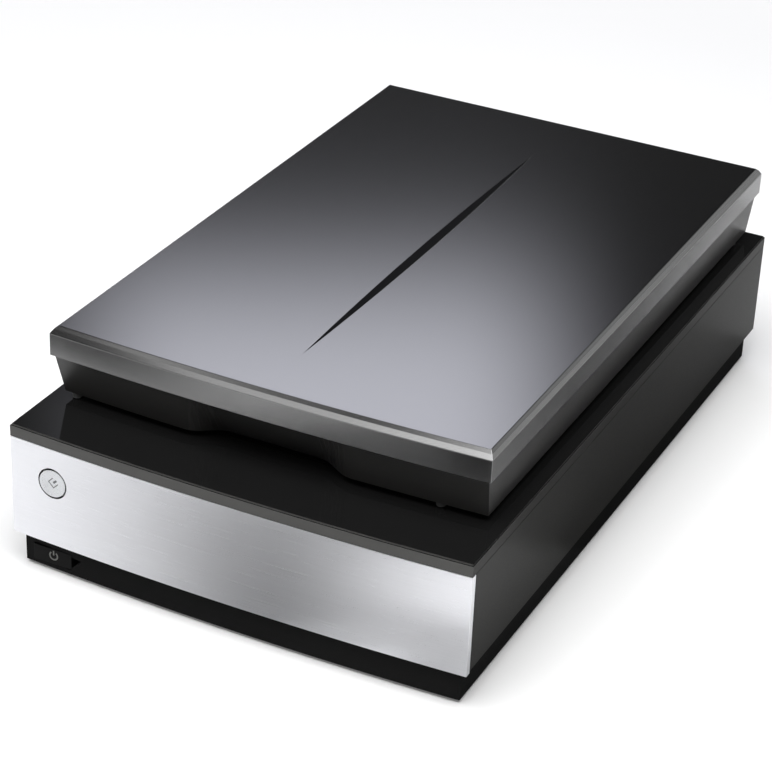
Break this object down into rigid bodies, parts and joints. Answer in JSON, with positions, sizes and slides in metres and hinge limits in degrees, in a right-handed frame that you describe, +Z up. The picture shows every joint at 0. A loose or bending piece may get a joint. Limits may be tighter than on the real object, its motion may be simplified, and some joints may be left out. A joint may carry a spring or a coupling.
{
  "type": "film negative scanner",
  "caption": "Flatbed film and photo scanner: a base with a glass platen and a moving scan carriage, under a thick hinged lid that holds its own moving lamp.",
  "frame": {"origin": "on the floor under the middle of the whole object's box", "axes": "+Z up, front panel faces -Y, +Y runs back to the hinges, +X to the viewer's right"},
  "size_m": [0.308, 0.5078, 0.152],
  "materials": {
    "base_black": "satin moulded",
    "case_grey": "satin moulded",
    "gloss_black": "high gloss",
    "panel_silver": "brushed along X",
    "button_silver": "satin, dished",
    "switch_black": "satin",
    "platen_glass": "clear",
    "bezel_grey": "fine texture",
    "foot_rubber": "matt",
    "screw_steel": "zinc plated",
    "shaft_steel": "ground",
    "sheet_steel": "zinc plated",
    "carriage_black": "glass filled",
    "cover_grey": "satin",
    "bush_bronze": "sintered",
    "nylon_white": "natural",
    "gear_plastic": "natural acetal",
    "pinion_brass": "cut",
    "pulley_metal": "turned",
    "belt_rubber": "matt",
    "motor_steel": "zinc plated can",
    "board_green": "solder mask",
    "switch_body": "moulded",
    "port_metal": "nickel plated shell",
    "jack_black": "moulded",
    "mirror_glass": "front silvered",
    "lens_glass": "coated",
    "lamp_white": "frosted",
    "lock_white": "moulded",
    "hinge_metal": "cast, satin",
    "lid_metallic": "satin metallic, fine speckle",
    "inlay_black": "gloss",
    "lid_dark": "satin moulded",
    "window_white": "frosted acrylic",
    "mat_white": "foam backed sheet",
    "bumper_rubber": "soft"
  },
  "bodies": {
    "base": {"lower_case": "base_black", "side_case": "case_grey", "front_panel": "panel_silver", "top_cover": "gloss_black", "platen_glass": "platen_glass", "platen_bezel": "bezel_grey", "rubber_feet": "foot_rubber", "case_screws": "screw_steel", "button_board": "board_green", "power_switch": "switch_body", "guide_rod": "shaft_steel", "rod_clamps": "carriage_black", "slide_rail": "sheet_steel", "drive_belt": "belt_rubber", "stepper_motor": "motor_steel", "motor_bracket": "sheet_steel", "idler_bracket": "sheet_steel", "tension_spring": "shaft_steel", "main_board": "board_green", "power_inlet": "jack_black", "data_port": "port_metal", "lid_connector": "jack_black", "hinge_housings": "base_black"},
    "start_button": {"start_button": "button_silver"},
    "power_button": {"power_button": "switch_black"},
    "transport_lock": {"transport_lock": "lock_white"},
    "scan_carriage": {"scan_carriage": "carriage_black", "carriage_cover": "cover_grey", "carriage_bushes": "bush_bronze", "glide_pad": "nylon_white", "lamp_bars": "lamp_white", "scan_mirrors": "mirror_glass", "lens_block": "carriage_black", "scan_lenses": "lens_glass", "sensor_board": "board_green", "belt_clip": "carriage_black"},
    "drive_pulley": {"drive_pulley": "pulley_metal", "reduction_gear": "gear_plastic"},
    "motor_pinion": {"motor_pinion": "pinion_brass"},
    "idler_pulley": {"idler_pulley": "pulley_metal"},
    "hinge_posts": {"hinge_posts": "hinge_metal"},
    "lid": {"hinge_pins": "shaft_steel", "hinge_brackets": "sheet_steel", "hinge_covers": "base_black", "lid_cover": "lid_metallic", "lid_inlay": "inlay_black", "lid_lower_case": "lid_dark", "lid_window": "window_white", "document_mat": "mat_white", "lid_bumpers": "bumper_rubber", "lamp_rods": "shaft_steel", "lamp_belt": "belt_rubber", "lamp_motor": "motor_steel", "lid_board": "board_green", "lid_screws": "screw_steel"},
    "lid_lock": {"lid_lock": "lock_white"},
    "lamp_carriage": {"lamp_carriage": "carriage_black", "lid_lamp": "lamp_white"},
    "lamp_drive_pulley": {"lamp_drive_pulley": "pulley_metal"},
    "lamp_idler_pulley": {"lamp_idler_pulley": "pulley_metal"}
  },
  "joints": [
    {"name": "start_button_press", "type": "slide", "parent": "base", "child": "start_button", "axis": [0, 1, 0], "range_m": [0, 0.0015], "stiffness_N_per_m": 600},
    {"name": "power_button_press", "type": "slide", "parent": "base", "child": "power_button", "axis": [0, 1, 0], "range_m": [0, 0.0025], "stiffness_N_per_m": 500},
    {"name": "transport_lock_turn", "type": "hinge", "parent": "base", "child": "transport_lock", "pos_m": [0.06, -0.1291, 0.004], "axis": [0, 0, -1], "range_deg": [0, 90]},
    {"name": "scan_slide", "type": "slide", "parent": "base", "child": "scan_carriage", "axis": [0, -1, 0], "range_m": [0, 0.31]},
    {"name": "drive_pulley_spin", "type": "hinge", "parent": "base", "child": "drive_pulley", "pos_m": [-0.04, 0.2119, 0.02], "axis": [0, 0, 1], "range_deg": [0, 2339.1]},
    {"name": "idler_pulley_spin", "type": "hinge", "parent": "base", "child": "idler_pulley", "pos_m": [-0.04, -0.2151, 0.026], "axis": [0, 0, 1], "range_deg": [0, 2339.1]},
    {"name": "motor_pinion_spin", "type": "hinge", "parent": "base", "child": "motor_pinion", "pos_m": [-0.0135, 0.2119, 0.015], "axis": [0, 0, 1], "range_deg": [-8682.5, 0]},
    {"name": "hinge_lift", "type": "slide", "parent": "base", "child": "hinge_posts", "axis": [0, 0, 1], "range_m": [0, 0.025]},
    {"name": "lid_swing", "type": "hinge", "parent": "hinge_posts", "child": "lid", "pos_m": [0, 0.2469, 0.112], "axis": [-1, 0, 0], "range_deg": [0, 88]},
    {"name": "lid_lock_turn", "type": "hinge", "parent": "lid", "child": "lid_lock", "pos_m": [0.02, 0.2121, 0.106], "axis": [0, 0, -1], "range_deg": [0, 90]},
    {"name": "lamp_slide", "type": "slide", "parent": "lid", "child": "lamp_carriage", "axis": [0, -1, 0], "range_m": [0, 0.25]},
    {"name": "lamp_drive_spin", "type": "hinge", "parent": "lid", "child": "lamp_drive_pulley", "pos_m": [0.1, 0.2081, 0.134], "axis": [0, 0, 1], "range_deg": [0, 2172.3]},
    {"name": "lamp_idler_spin", "type": "hinge", "parent": "lid", "child": "lamp_idler_pulley", "pos_m": [0.1, -0.1805, 0.134], "axis": [0, 0, 1], "range_deg": [0, 2172.3]}
  ],
  "couplings": [
    {"joint": "drive_pulley_spin", "follows": "scan_slide", "rad_per_m": 131.58},
    {"joint": "idler_pulley_spin", "follows": "scan_slide", "rad_per_m": 131.58},
    {"joint": "motor_pinion_spin", "follows": "scan_slide", "rad_per_m": -488.72},
    {"joint": "lamp_drive_spin", "follows": "lamp_slide", "rad_per_m": 151.52},
    {"joint": "lamp_idler_spin", "follows": "lamp_slide", "rad_per_m": 151.52}
  ]
}
